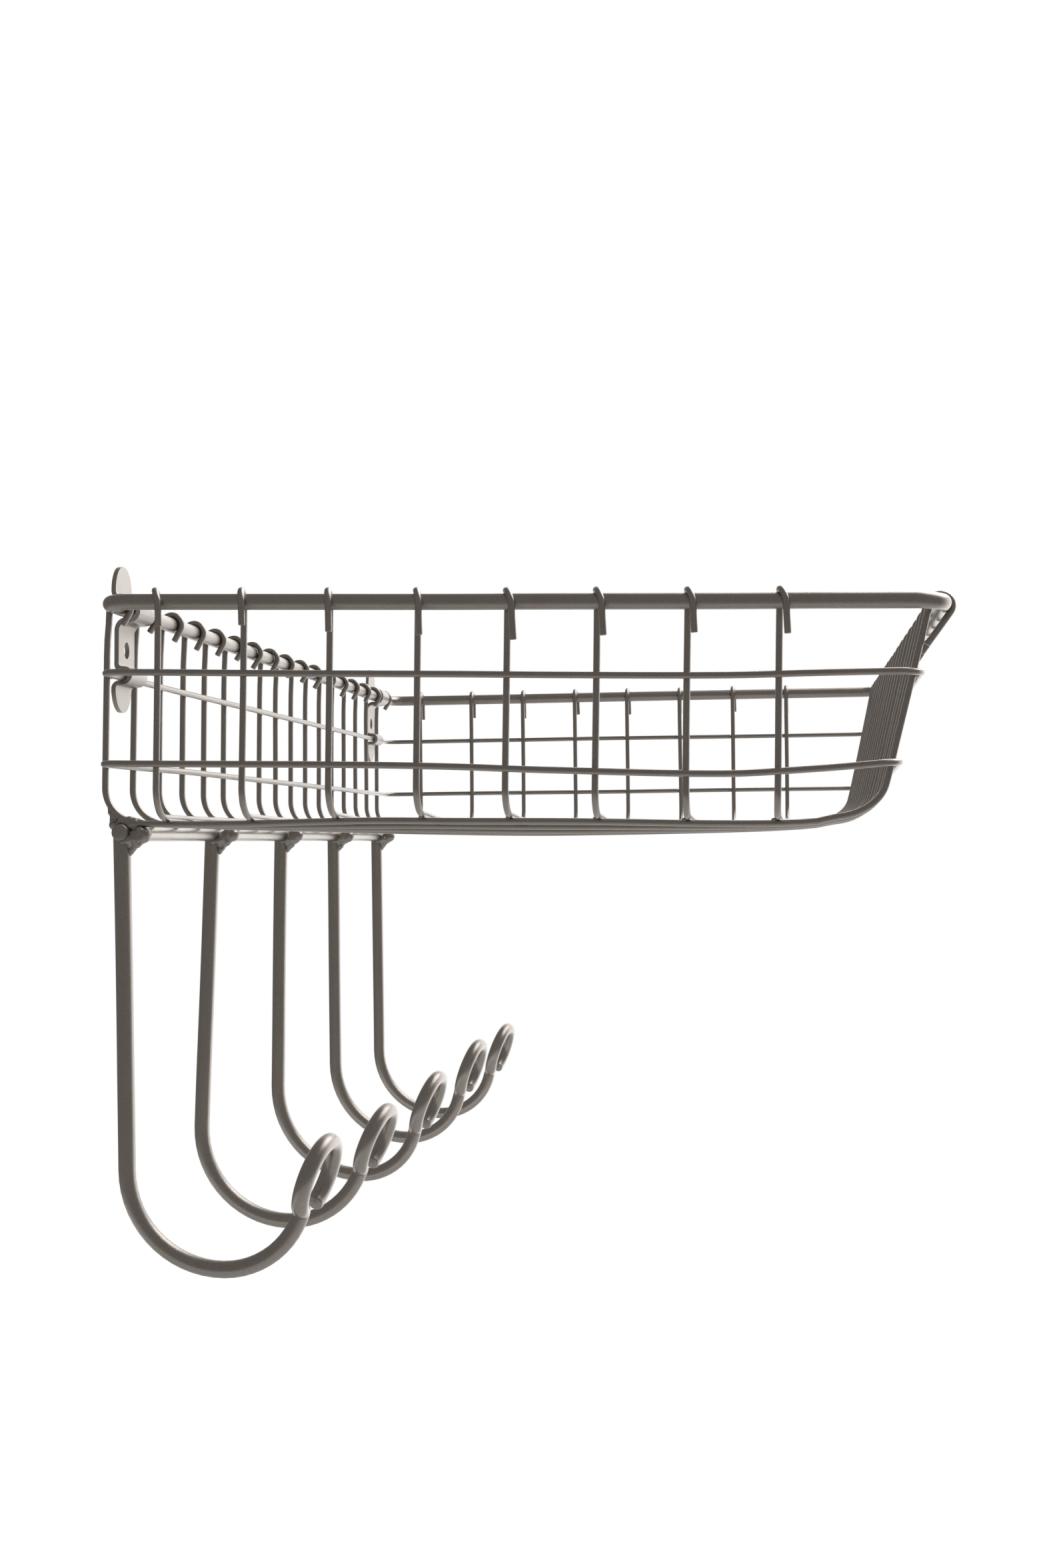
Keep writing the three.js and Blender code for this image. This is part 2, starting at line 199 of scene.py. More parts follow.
def left_rise(y, z):
    top, bottom = LEFT_RISE[0], LEFT_RISE[-1]
    if z >= top[0]:
        return from_row(top[1], y)
    for upper, lower in zip(LEFT_RISE, LEFT_RISE[1:]):
        if z >= lower[0]:
            share = smooth(-z, -upper[0], -lower[0])
            return from_row(upper[1], y) * (1 - share) + from_row(lower[1], y) * share
    return from_row(bottom[1], y)


def settled(point, drifting=True):
    """Where a point of the true rack stands in the welded one."""
    past_seat = (point.x + END_LEG_X - LEFT_SEAT) / LEFT_REACH
    nearness = min(max(1 - past_seat, 0.0), 1.0) ** LEFT_FADE
    depth = 1 - smooth(point.z, FLOOR_BAND, LOWER_RING_Z)
    middle_rise = from_row(FLOOR_RISE, point.y) * depth
    rise = left_rise(point.y, point.z) * nearness + middle_rise * (1 - nearness)
    drift = 0.0
    if drifting:
        outward = smooth(-point.y, *DRIFT_RUN)
        drift = (LEFT_DRIFT[0] * (1 - outward) + LEFT_DRIFT[1] * outward) * nearness
    return twisted(point + Vector((0, drift, rise * MM)))


def twisted(point):
    turn = TWIST * point.x / HALF_LENGTH
    arm = point - TWIST_CENTRE
    y = arm.y * math.cos(turn) + arm.z * math.sin(turn)
    z = arm.z * math.cos(turn) - arm.y * math.sin(turn)
    return Vector((point.x, TWIST_CENTRE.y + y, TWIST_CENTRE.z + z))


# ---- finishes ----------------------------------------------------------------------------------

class Channel:
    """A number at a socket; arithmetic on it lays down the Math nodes for the expression."""

    def __init__(self, layer, socket):
        self.layer = layer
        self.socket = socket

    def _math(self, operation, first, second=None, clamp=False):
        settings = {"operation": operation, "use_clamp": clamp}
        values = {0: first} if second is None else {0: first, 1: second}
        return self.layer.node("ShaderNodeMath", settings, values)

    def __add__(self, other):
        return self._math("ADD", self, other)

    def __mul__(self, other):
        return self._math("MULTIPLY", self, other)

    def __sub__(self, other):
        return self._math("SUBTRACT", self, other)

    def __rsub__(self, other):
        return self._math("SUBTRACT", other, self)

    __radd__ = __add__
    __rmul__ = __mul__

    def clamped(self):
        return self._math("ADD", self, 0.0, clamp=True)


class NodeLayer:
    """Lays nodes into a tree, with their settings and what feeds their sockets."""

    def __init__(self, tree):
        self.tree = tree

    def node(self, kind, settings=None, values=None, output=0):
        made = self.tree.nodes.new(kind)
        for name, setting in (settings or {}).items():
            if name == "stops":
                self._lay_stops(made.color_ramp, setting)
            else:
                setattr(made, name, setting)
        for name, value in (values or {}).items():
            self._feed(made.inputs[name], value)
        return Channel(self, made.outputs[output])

    def _lay_stops(self, ramp, stops):
        while len(ramp.elements) < len(stops):
            ramp.elements.new(0.5)
        for element, (place, colour) in zip(ramp.elements, stops):
            element.position = place
            element.color = (*colour, 1)

    def _feed(self, socket, value):
        if isinstance(value, Channel):
            self.tree.links.new(value.socket, socket)
        else:
            socket.default_value = value

    def ramp(self, channel, stops):
        return self.node("ShaderNodeValToRGB", {"stops": stops}, {0: channel})

    def blend(self, share, first, second):
        settings = {"data_type": "RGBA", "blend_type": "MIX"}
        return self.node("ShaderNodeMix", settings, {0: share, 6: first, 7: second}, output=2)


class Finish(NodeLayer):
    """A material whose surface is worked out by nodes."""

    def __init__(self, name):
        self.material = bpy.data.materials.new(name)
        self.material.use_nodes = True
        super().__init__(self.material.node_tree)
        self.shader = self.tree.nodes["Principled BSDF"]

    def set(self, **constants):
        for name, value in constants.items():
            self.shader.inputs[name.replace("_", " ")].default_value = value

    def drive(self, name, channel):
        self.tree.links.new(channel.socket, self.shader.inputs[name])

    def place(self):
        return self.node("ShaderNodeTexCoord", output="Object")

    def noise(self, size, detail=2.0, roughness=0.5):
        values = {"Vector": self.place(), "Scale": 1 / size, "Detail": detail, "Roughness": roughness}
        return self.node("ShaderNodeTexNoise", {"noise_dimensions": "3D"}, values)

    def bump(self, height, depth, strength=0.8):
        values = {"Height": height, "Distance": depth, "Strength": strength}
        self.drive("Normal", self.node("ShaderNodeBump", None, values))


# sizes of the coat's and the weld's own patterns
CLOUD, STAIN, SCUFF, PEEL, SPECKLE = 22 * MM, 9 * MM, 2.4 * MM, 1.6 * MM, 0.45 * MM
RIPPLE, PIT = 2.2 * MM, 0.5 * MM
COAT_DEPTH, WELD_DEPTH = 0.05 * MM, 0.12 * MM       # of their bumps
METAL = 0.92


def toned(tone, *shares):
    """A tone with its channels scaled, by one share or by one for each, as an opaque colour."""
    shares = shares * 3 if len(shares) == 1 else shares
    return tuple(min(channel * share, 1.0) for channel, share in zip(tone, shares)) + (1,)


def satin_coat(name, tone, roughness, grain):
    """Satin pewter coat on steel: grain, a little orange peel, dull and bright clouds, rubbed spots."""
    coat = Finish(name)
    dark, light, rubbed = toned(tone, 0.62), toned(tone, 1.4), toned(tone, 1.45)
    warm = toned(tone, 1.0, 0.93, 0.85)
    clouds = coat.noise(CLOUD, 3.0)
    speckle = coat.noise(SPECKLE, 3.0, 0.65)
    peel = coat.noise(PEEL, 2.0)
    stain = coat.noise(STAIN, 4.0, 0.62)
    scuff = coat.noise(SCUFF, 5.0, 0.7)
    mottled = coat.blend(speckle, dark, light)
    stains = coat.ramp(stain, [(0.52, (0, 0, 0)), (0.72, (1, 1, 1))])
    scuffs = coat.ramp(scuff, [(0.64, (0, 0, 0)), (0.76, (1, 1, 1))])
    stained = coat.blend(stains * 0.6, mottled, warm)
    coat.drive("Base Color", coat.blend(scuffs * 0.5, stained, rubbed))
    coat.drive("Roughness", (speckle * 0.2 + clouds * 0.14 + (roughness - 0.17)).clamped())
    coat.set(Metallic=METAL, Specular_IOR_Level=0.5)
    coat.bump(speckle * grain + peel * 0.4, COAT_DEPTH)
    return coat.material


def weld_metal(name, tone):
    """Coated weld: rippled and lumpy, slightly duller, with small pits."""
    bead = Finish(name)
    lumps = bead.noise(RIPPLE, 3.0)
    pits = bead.noise(PIT, 2.0)
    bead.drive("Base Color", bead.blend(lumps, toned(tone, 0.6), toned(tone, 1.25)))
    bead.drive("Roughness", (lumps * 0.25 + 0.28).clamped())
    bead.set(Metallic=METAL)
    bead.bump(lumps + pits * 0.25, WELD_DEPTH)
    return bead.material


ROD_COAT = satin_coat("satin_pewter_rod", (0.41, 0.376, 0.345), 0.32, 1.0)
WIRE_COAT = satin_coat("satin_pewter_wire", (0.40, 0.367, 0.337), 0.34, 0.8)
STRAP_COAT = satin_coat("satin_pewter_strap", (0.44, 0.408, 0.378), 0.42, 0.6)
WELD_COAT = weld_metal("pewter_weld", (0.42, 0.388, 0.358))


# ---- routes of bent wire -----------------------------------------------------------------------

STRAIGHT_STEP, TAIL_STEP, BAR_STEP = 6 * MM, 3 * MM, 12 * MM
ARC_STEP, RIM_STEP, CROOK_STEP = 5, 8, 6                # in degrees
SEED_STRIDES = (7.31, 3.17, 5.53)     # how far apart two seeds lie in the noise
NEARLY_UPRIGHT = 0.9                  # rise over length


class Route:
    """The centre line of a bent wire as a row of points."""

    def __init__(self, *points):
        self.points = [Vector(point) for point in points]
        self.ahead = None

    def heading(self):
        return self.ahead or (self.points[-1] - self.points[-2]).normalized()

    def straight_to(self, end, step=STRAIGHT_STEP):
        start = self.points[-1]
        parts = max(1, round((end - start).length / step))
        self.points += [start.lerp(end, i / parts) for i in range(1, parts + 1)]
        self.ahead = None
        return self

    def onward(self, length, step=TAIL_STEP):
        return self.straight_to(self.points[-1] + self.heading() * length, step)

    def arc(self, centre, radius, across, up, start, sweep, step=ARC_STEP):
        """Round a centre from an angle through a sweep; step is in degrees."""
        parts = max(2, round(abs(math.degrees(sweep)) / step))
        spokes = [start + sweep * i / parts for i in range(parts + 1)]
        ring = [centre + (across * math.cos(a) + up * math.sin(a)) * radius for a in spokes]
        if self.points:
            self.straight_to(ring[0])
            ring = ring[1:]
        self.points += ring
        end = start + sweep
        self.ahead = (up * math.cos(end) - across * math.sin(end)) * math.copysign(1, sweep)
        return self


def wavered(points, seed, waver):
    """Points set slightly off true, as wire straightened and bent by hand is."""
    amount, reach = waver
    shift = Vector([seed * stride for stride in SEED_STRIDES])
    return [point + noise.noise_vector(point / reach + shift) * amount for point in points]


def frames_along(points, closed):
    """A tangent and two cross directions at each point, carried along without twisting."""
    count = len(points)
    tangents = []
    for i in range(count):
        before = points[i - 1] if closed or i else points[i]
        after = points[(i + 1) % count] if closed or i < count - 1 else points[i]
        tangents.append((after - before).normalized())
    side = Z.cross(tangents[0]) if abs(tangents[0].z) < NEARLY_UPRIGHT else X.cross(tangents[0])
    side.normalize()
    frames = []
    for i, tangent in enumerate(tangents):
        if i:
            side = tangents[i - 1].rotation_difference(tangent) @ side
        side = (side - tangent * side.dot(tangent)).normalized()
        frames.append((tangent, side, tangent.cross(side)))
    return frames


def ring_of(mesh, centre, frame_here, radius, sides):
    _, side, up = frame_here
    turns = [2 * math.pi * i / sides for i in range(sides)]
    return [mesh.verts.new(centre + (side * math.cos(a) + up * math.sin(a)) * radius) for a in turns]


def skin_between(mesh, first, second):
    sides = len(first)
    for i in range(sides):
        j = (i + 1) % sides
        mesh.faces.new((first[i], first[j], second[j], second[i]))


ROD_SIDES, HOOK_SIDES, WIRE_SIDES = 28, 24, 16
SHEARED_END = ((0.0, 0.72), (0.1, 0.93), (0.3, 1.0))     # distance in and radius, both over the radius


def add_tube(mesh, points, radius, sides, closed=False):
    frames = frames_along(points, closed)
    places = list(zip(points, frames, [radius] * len(points)))
    if not closed:
        start, end = places[0], places[-1]
        head = [(start[0] + start[1][0] * radius * inward, start[1], radius * share)
                for inward, share in SHEARED_END]
        foot = [(end[0] - end[1][0] * radius * inward, end[1], radius * share)
                for inward, share in reversed(SHEARED_END)]
        places = head + places[1:-1] + foot
    rings = [ring_of(mesh, centre, here, size, sides) for centre, here, size in places]
    for first, second in zip(rings, rings[1:]):
        skin_between(mesh, first, second)
    if closed:
        skin_between(mesh, rings[-1], rings[0])
    else:
        mesh.faces.new(rings[0][::-1])
        mesh.faces.new(rings[-1])


def piece_from(mesh, name, coat, slot, *nodes, smooth_to=40):
    """Turn a bmesh into a smooth-shaded piece that rides on the rack."""
    bmesh.ops.recalc_face_normals(mesh, faces=mesh.faces)
    data = bpy.data.meshes.new(name)
    mesh.to_mesh(data)
    mesh.free()
    for polygon in data.polygons:
        polygon.use_smooth = True
    data.set_sharp_from_angle(angle=math.radians(smooth_to))
    data.materials.append(coat)
    piece = bpy.data.objects.new(name, data)
    bpy.context.scene.collection.objects.link(piece)
    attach(piece, "root")
    if nodes:
        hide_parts(*nodes)
    return piece


def wire_piece(name, points, radius, sides, coat, slot, node, closed=False):
    mesh = bmesh.new()
    add_tube(mesh, points, radius, sides, closed)
    return piece_from(mesh, name, coat, slot, node)


def thin_wire(node, points, closed=False):
    name = "bent_" + node
    return wire_piece(name, points, WIRE_RADIUS, WIRE_SIDES, WIRE_COAT, "pewter_wire", node, closed)


# ---- rim and rings -----------------------------------------------------------------------------

def rounded_loop(half_length, back_y, front_y, z, corner):
    """A level closed loop, starting on the back run at the right-hand end."""
    route = Route()
    places = [
        (half_length - corner, back_y - corner, 0),
        (-half_length + corner, back_y - corner, 90),
        (-half_length + corner, front_y + corner, 180),
        (half_length - corner, front_y + corner, 270),
    ]
    for x, y, start in places:
        route.arc(Vector((x, y, z)), corner, X, Y, math.radians(start), math.pi / 2)
    route.straight_to(route.points[0])
    return route.points[:-1]


def rim_rod():
    points = rounded_loop(RIM_X, RIM_BACK_Y, RIM_FRONT_Y, RIM_Z, RIM_CORNER)
    points = [settled(point) for point in wavered(points, WAVER_SEED["rim"], RIM_WAVER)]
    name = "bent_rim_rod"
    return wire_piece(name, points, RIM_RADIUS, ROD_SIDES, ROD_COAT, "pewter_rod", "rim_rod", True)


def ring_wire(node, z, seed):
    points = rounded_loop(RING_X, RING_BACK_Y, ring_front_y(z), z, RING_CORNER)
    points = [settled(point) for point in wavered(points, seed, RING_WAVER)]
    return thin_wire(node, points, closed=True)


# ---- basket wires ------------------------------------------------------------------------------

def over_the_rim(route, rim_centre, inward, lean, tail):
    """Up the leg, over the rim and down into the cut tail."""
    angle, length = tail
    route.arc(rim_centre, HOOK_OVER, inward, Z, lean, math.pi - lean + angle, RIM_STEP)
    return route.onward(length)


def half_wire(middle_point, outward, leg_foot, bend, lean, rim_centre, inward, tail):
    """From the middle of the bottom run, round the bend, up the leg and over the rim."""
    turn = math.pi / 2 - lean
    centre = leg_foot - outward * bend * math.tan(turn / 2) + Z * bend
    route = Route(middle_point)
    route.arc(centre, bend, outward, Z, -math.pi / 2, turn)
    return over_the_rim(route, rim_centre, inward, lean, tail).points


def whole_wire(first, second):
    return first[::-1] + second[1:]


def own_tail(tail, stray, chance):
    angle, length = tail
    swing, stretch = stray
    own_angle = angle + math.radians(chance.uniform(-swing, swing))
    return own_angle, length + chance.uniform(-stretch, stretch)


def swung(points, swing):
    """The tail at the route's end is bent sideways, more and more from the top of the rim."""
    top = max(range(len(points)), key=lambda i: points[i].z)
    rest = len(points) - 1 - top
    return [point - Y * swing * max(i - top, 0) / rest for i, point in enumerate(points)]


def lengthwise_wire(node, number):
    chance = random.Random(DRAW_SEED["lengthwise"] + number)
    y = middle(node).y
    centre = Vector((0, y, LENGTH_FLOOR_Z))
    swing, length = LEFT_TAILS[number - 1]
    tails = {-1: (0.0, length), 1: own_tail(RIGHT_TAIL, RIGHT_STRAY, chance)}
    swings = {-1: swing, 1: chance.uniform(*RIGHT_SWING) * MM}
    halves = []
    for side in (-1, 1):
        out = X * side
        foot = Vector((side * END_LEG_X, y, LENGTH_FLOOR_Z))
        rim = Vector((side * RIM_X, y, RIM_Z))
        half = half_wire(centre, out, foot, END_BEND, 0, rim, -out, tails[side])
        halves.append(swung(half, swings[side]))
    points = wavered(whole_wire(*halves), WAVER_SEED["lengthwise"] + number, WIRE_WAVER)
    spread = SPREAD * max(number - 3, 0)
    points = [point - Y * (spread + SHEAR * (point.x / END_LEG_X + 1) / 2) for point in points]
    return thin_wire(node, [settled(point, False) for point in points])


# how far the back legs stand towards the wall below the rim, by the wire's number
BACK_LEG_DRIFT = {1: 0.7 * MM, 2: 0.6 * MM}
OTHER_LEG_DRIFT = 0.35 * MM
LEG_TOP = (2 * MM, 16 * MM)           # it fades in between these depths below the rim,
LEG_FOOT = (-80 * MM, -20 * MM)       # and along the floor between these places


def back_leg_share(point):
    """None at the rim and at the middle of the floor, all of it down the back leg."""
    return smooth(RIM_Z - point.z, *LEG_TOP) * smooth(point.y, *LEG_FOOT)


def crosswise_wire(node, number):
    chance = random.Random(DRAW_SEED["crosswise"] + number)
    x = middle(node).x
    floor = CROSS_FLOOR_Z
    drift = BACK_LEG_DRIFT.get(number, OTHER_LEG_DRIFT)
    centre = Vector((x, (RIM_BACK_Y + RIM_FRONT_Y) / 2, floor))
    back = half_wire(
        centre, Y, Vector((x, BACK_LEG_Y, floor)), BACK_BEND, 0,
        Vector((x, RIM_BACK_Y, RIM_Z)), Y, own_tail(BACK_TAIL, BACK_STRAY, chance),
    )
    back = [point + Y * drift * back_leg_share(point) for point in back]
    front = half_wire(
        centre, -Y, Vector((x, front_leg_y(floor), floor)), FRONT_BEND, FRONT_LEAN,
        Vector((x, RIM_FRONT_Y, RIM_Z)), Y, own_tail(FRONT_TAIL, FRONT_STRAY, chance),
    )
    points = wavered(whole_wire(back, front), WAVER_SEED["crosswise"] + number, WIRE_WAVER)
    return thin_wire(node, [settled(point) for point in points])


# ---- hook bar and coat hooks -------------------------------------------------------------------

# each hook's lean, back radius, drop below the bar, front radius and front sweep; degrees and millimetres
HOOK_FORMS = [
    (1.2, 37.1, 164.0, 31.2, 68.4),
    (-1.9, 38.8, 166.1, 33.2, 70.0),
    (-0.6, 42.5, 166.5, 26.7, 77.4),
    (0.8, 40.1, 165.6, 28.8, 77.4),
    (0.8, 38.1, 167.8, 29.8, 76.8),
]
EYE_RADIUS = 14 * MM
EYE_REACH = 16.1 * MM                 # from the neck to the eye's centre
EYE_PITCH = math.radians(70)
EYE_LEAD = math.radians(65)
EYE_TURN = math.radians(5.6)
EYE_START = math.radians(44)
EYE_END = math.radians(326)
SHANK_TOP = 0.4                       # how far below the bar's centre a hook starts, over its radius
NECK_LEAD, EYE_LEAD_IN = 1.3, 1.2     # how far the curve between crook and eye keeps each one's way
NECK_PARTS = 8


def bezier(start, lead_out, lead_in, end, parts):
    points = []
    for i in range(1, parts):
        t = i / parts
        points.append(start * (1 - t) ** 3 + lead_out * 3 * t * (1 - t) ** 2
                      + lead_in * 3 * t * t * (1 - t) + end * t ** 3)
    return points


def upward(angle):
    """The direction out into the room and up by an angle."""
    return -Y * math.cos(angle) + Z * math.sin(angle)


def hook_route(back_radius, drop, front_radius, front_sweep):
    """About the bar's centre: straight shank, the two radii of the crook, then the eye."""
    route = Route(-Z * (HOOK_RADIUS * SHANK_TOP))
    route.arc(Vector((0, -back_radius, back_radius - drop)), back_radius, Y, -Z, 0, math.pi / 2, CROOK_STEP)
    crook = Vector((0, -back_radius, front_radius - drop))
    route.arc(crook, front_radius, -Z, -Y, 0, front_sweep, CROOK_STEP)
    neck, ahead = route.points[-1], route.heading()
    rise = upward(EYE_PITCH)
    near_side = Quaternion(rise, -EYE_TURN) @ -X
    centre = neck + upward(EYE_LEAD) * EYE_REACH
    eye = Route().arc(centre, EYE_RADIUS, -rise, near_side, EYE_START, EYE_END - EYE_START).points
    into = near_side * math.cos(EYE_START) + rise * math.sin(EYE_START)
    lead_out = neck + ahead * HOOK_RADIUS * NECK_LEAD
    lead_in = eye[0] - into * HOOK_RADIUS * EYE_LEAD_IN
    route.points += bezier(neck, lead_out, lead_in, eye[0], NECK_PARTS) + eye
    return route.points


def bar_point(x):
    return twisted(Vector((x, BAR_Y, BAR_Z)))


def coat_hook(node, number):
    lean = math.radians(HOOK_FORMS[number - 1][0])
    back_radius, drop, front_radius, sweep = HOOK_FORMS[number - 1][1:]
    top = bar_point(middle(node).x)
    turn = Matrix.Rotation(-lean, 4, "X")
    route = hook_route(back_radius * MM, drop * MM, front_radius * MM, math.radians(sweep))
    points = [top + turn @ point for point in route]
    points = wavered(points, WAVER_SEED["hook"] + number, HOOK_WAVER)
    return wire_piece("bent_" + node, points, HOOK_RADIUS, HOOK_SIDES, ROD_COAT, "pewter_rod", node)


def hook_bar():
    route = Route(bar_point(BAR_LOW.x)).straight_to(bar_point(BAR_HIGH.x), BAR_STEP)
    points = wavered(route.points, WAVER_SEED["bar"], RIM_WAVER)
    name = "cut_hook_bar"
    return wire_piece(name, points, HOOK_RADIUS, ROD_SIDES, ROD_COAT, "pewter_rod", "hook_bar")


# ---- strap brackets ----------------------------------------------------------------------------

# how the left strap was bent out of true: sideways at its top, middle and bottom; up; the hole up
LEFT_STRAP = {"top": -1.5 * MM, "middle": 2.3 * MM, "bottom": -1.5 * MM, "up": 0.9 * MM, "hole": 1.1 * MM}
RIGHT_STRAP = {"top": 0.5 * MM, "middle": -0.6 * MM, "bottom": 0.4 * MM, "up": 0.0, "hole": 0.0}
STRAP_SLICE = 2.1 * MM                # the strap is cut into slices this high before it is bent
STRAP_EASE, EASE_PARTS = 0.35 * MM, 3                  # how far and how finely its edges are rounded
FLAT_ENOUGH, EDGE_ANGLE = math.radians(2), math.radians(50)
# the heights between which each part of the bend fades in
TOP_FADE, BOTTOM_FADE, HOLE_FADE = (9 * MM, 20 * MM), (4 * MM, 16 * MM), (4 * MM, 9 * MM)
SAME_POINT = 0.001 * MM


def bent_strap(point, bend):
    above = smooth(point.z, *TOP_FADE)
    below = smooth(-point.z, *BOTTOM_FADE)
    sideways = bend["top"] * above + bend["bottom"] * below + bend["middle"] * (1 - above - below)
    hole_lift = bend["hole"] * (1 - smooth(abs(point.z), *HOLE_FADE))
    return point + Vector((sideways, 0, bend["up"] + hole_lift))


def wall_bracket(node, bend):
    """The strap with its edges eased, as sheared and tumbled strip is."""
    mesh = bmesh.new()
    mesh.from_mesh(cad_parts[node].data)
    bmesh.ops.remove_doubles(mesh, verts=mesh.verts, dist=SAME_POINT)
    bmesh.ops.dissolve_limit(mesh, angle_limit=FLAT_ENOUGH, verts=mesh.verts, edges=mesh.edges)
    low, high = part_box(node)
    slices = round((high.z - low.z) / STRAP_SLICE)
    for i in range(1, slices):
        cut = Vector((0, 0, low.z + (high.z - low.z) * i / slices))
        everything = mesh.verts[:] + mesh.edges[:] + mesh.faces[:]
        bmesh.ops.bisect_plane(mesh, geom=everything, plane_co=cut, plane_no=Z)
    lift = twisted(Vector((middle(node).x, RIM_BACK_Y, RIM_Z))).z - RIM_Z
    for vertex in mesh.verts:
        vertex.co = bent_strap(vertex.co, bend) + Z * lift
    piece = piece_from(mesh, "eased_" + node, STRAP_COAT, "pewter_strap", node)
    ease = piece.modifiers.new("eased edges", "BEVEL")
    ease.width = STRAP_EASE
    ease.segments = EASE_PARTS
    ease.limit_method = "ANGLE"
    ease.angle_limit = EDGE_ANGLE
    return piece


# ---- welds -------------------------------------------------------------------------------------

CROSSWISE_X = [middle(node).x for node in CROSSWISE]
LENGTHWISE_Y = [middle(node).y for node in LENGTHWISE]
NUGGET_BREADTH, NUGGET_THICKNESS = (0.85, 1.05), 0.7           # over the wire's radius
NUGGET_LENGTH = (0.9, 1.1)                                     # over the nugget's breadth
BEAD_SWELL, SPOT_SWELL = 0.07, 0.1    # how far a lump's surface strays from round
LUMPINESS = 1.3                       # how often it does so, over the lump's radius
BEAD_SIZES, BEAD_JITTER, BEAD_SQUEEZE = (0.92, 1.1), (-0.08, 0.08), (0.94, 1.08)
MELT_GRAIN, MELT_PASSES = 0.3 * MM, 12


def add_nugget(mesh, centre, radii, turn, chance, stray):
    """One small squeezed lump of weld."""
    lump = bmesh.ops.create_icosphere(mesh, subdivisions=2, radius=1.0)
    seed = Vector((chance.uniform(0, 50), chance.uniform(0, 50), chance.uniform(0, 50)))
    for vertex in lump["verts"]:
        swell = 1 + stray * noise.noise(vertex.co * LUMPINESS + seed)
        shaped = Vector((vertex.co.x * radii[0], vertex.co.y * radii[1], vertex.co.z * radii[2])) * swell
        vertex.co = centre + turn @ shaped


def loop_crossings(z, back_y, front_y, end_x):
    """Where the crosswise and the lengthwise wires lie against a loop, and which way each faces."""
    sides = [(Vector((x, y, z)), Y) for x in CROSSWISE_X for y in (back_y, front_y)]
    ends = [(Vector((x, y, z)), X) for y in LENGTHWISE_Y for x in (-end_x, end_x)]
    return sides + ends


def wire_crossings():
    half = WIRE_STEP / 2
    crossings = []
    for z in (UPPER_RING_Z, LOWER_RING_Z):
        crossings += loop_crossings(z, BACK_LEG_Y - half, front_leg_y(z) - half, END_LEG_X + half)
    crossings += [(Vector((x, y, CROSS_FLOOR_Z + half)), Z) for x in CROSSWISE_X for y in LENGTHWISE_Y]
    against_rim = (BACK_LEG_Y - WIRE_RADIUS, FRONT_LEG_Y - WIRE_RADIUS, END_LEG_X + WIRE_RADIUS)
    return crossings + loop_crossings(RIM_Z, *against_rim)


def spot_welds():
    """A nugget at every crossing of two wires, and where each wire lies against the rim."""
    chance = random.Random(DRAW_SEED["spots"])
    mesh = bmesh.new()
    for place, normal in wire_crossings():
        broad = WIRE_RADIUS * chance.uniform(*NUGGET_BREADTH)
        radii = (broad, broad * chance.uniform(*NUGGET_LENGTH), WIRE_RADIUS * NUGGET_THICKNESS)
        facing = normal.to_track_quat("Z", "Y")
        add_nugget(mesh, settled(place), radii, facing, chance, SPOT_SWELL)
    return piece_from(mesh, "spot_weld_nuggets", WELD_COAT, "pewter_wire", smooth_to=180)


def melted(mesh):
    """Lumps run together into one smooth skin, as weld metal does."""
    data = bpy.data.meshes.new("lumps")
    mesh.to_mesh(data)
    mesh.free()
    lumps = bpy.data.objects.new("lumps", data)
    bpy.context.scene.collection.objects.link(lumps)
    skin = lumps.modifiers.new("one skin", "REMESH")
    skin.mode = "VOXEL"
    skin.voxel_size = MELT_GRAIN
    flow = lumps.modifiers.new("flow", "SMOOTH")
    flow.factor = 0.5
    flow.iterations = MELT_PASSES
    settled_skin = lumps.evaluated_get(bpy.context.evaluated_depsgraph_get())
    melt = bmesh.new()
    melt.from_mesh(settled_skin.to_mesh())
    settled_skin.to_mesh_clear()
    bpy.data.objects.remove(lumps)
    bpy.data.meshes.remove(data)
    return melt


def pitted(mesh, pits):
    """Gas pits: each place, radius and depth pushes the skin in along its normal."""
    mesh.normal_update()
    for place, radius, depth in pits:
        for vertex in mesh.verts:
            away = (vertex.co - place).length / radius
            if away < 1:
                vertex.co -= vertex.normal * depth * (1 - away * away) ** 2
    return mesh


def add_beads(mesh, origin, beads, chance):
    """Weld lumps at their offsets from an origin; offsets and radii are in millimetres."""
    for x, y, z, size in beads:
        size = size * MM * chance.uniform(*BEAD_SIZES)
        jitter = Vector([chance.uniform(*BEAD_JITTER) * size for _ in range(3)])
        radii = [size * chance.uniform(*BEAD_SQUEEZE) for _ in range(3)]
        add_nugget(mesh, origin + Vector((x, y, z)) * MM + jitter, radii, Quaternion(), chance, BEAD_SWELL)


# the fillet between a hook and the bar: sideways, out from the bar's centre, up, radius
HOOK_FILLET = [
    (0.2, -8.6, -0.8, 2.8), (-0.3, -6.9, 0.2, 2.5), (0.2, -7.0, -2.0, 2.6), (0.2, -5.2, -1.4, 2.9),
    (0.0, -5.6, -3.3, 2.4), (0.0, -4.7, -4.6, 2.1), (0.0, -4.0, -5.9, 1.8), (0.0, -3.5, -7.1, 1.4),
    (0.0, -3.1, -8.1, 1.0), (0.0, -3.0, -3.4, 2.7), (-1.9, -2.8, -3.0, 1.8), (1.9, -2.8, -3.0, 1.8),
    (-2.3, -0.6, -3.5, 1.2), (2.3, -0.6, -3.5, 1.2), (-1.5, -4.6, -2.4, 2.0), (1.5, -4.6, -2.4, 2.0),
]
